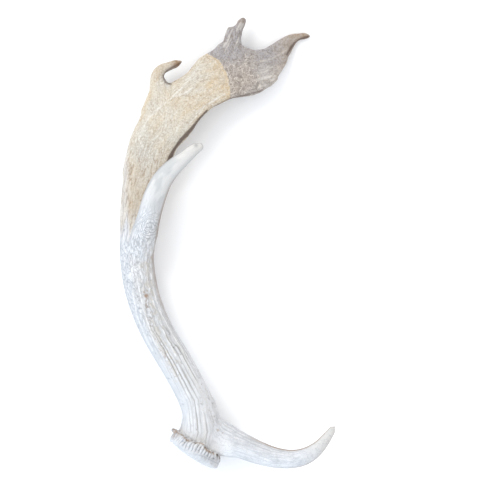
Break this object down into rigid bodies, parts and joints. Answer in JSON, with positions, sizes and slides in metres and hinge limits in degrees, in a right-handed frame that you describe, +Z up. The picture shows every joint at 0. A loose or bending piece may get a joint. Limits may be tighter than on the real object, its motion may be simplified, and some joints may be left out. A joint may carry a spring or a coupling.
{
  "type": "fallow deer antler",
  "caption": "Cast palmate deer antler with a beaded coronet, a brow tine, a trez tine and a blade that ends in short points, lying on its side",
  "frame": {"origin": "on the surface that the antler lies on, below the middle of its outline seen from above", "axes": "+Z up, +Y from the coronet up to the palm, +X towards the tip of the brow tine"},
  "size_m": [0.2368, 0.4966, 0.0775],
  "materials": {
    "bleached_antler": "sun-bleached grooved antler, dry, with a faint sheen",
    "tan_antler": "tan antler with cream veins, matt",
    "grey_antler": "grey-brown weathered antler with pale veins, matt"
  },
  "bodies": {
    "root": {"beam": "bleached_antler", "brow_tine": "bleached_antler", "trez_tine": "bleached_antler", "palm": "tan_antler", "back_tine": "tan_antler", "upper_speller": "grey_antler", "end_speller": "grey_antler"}
  },
  "joints": []
}
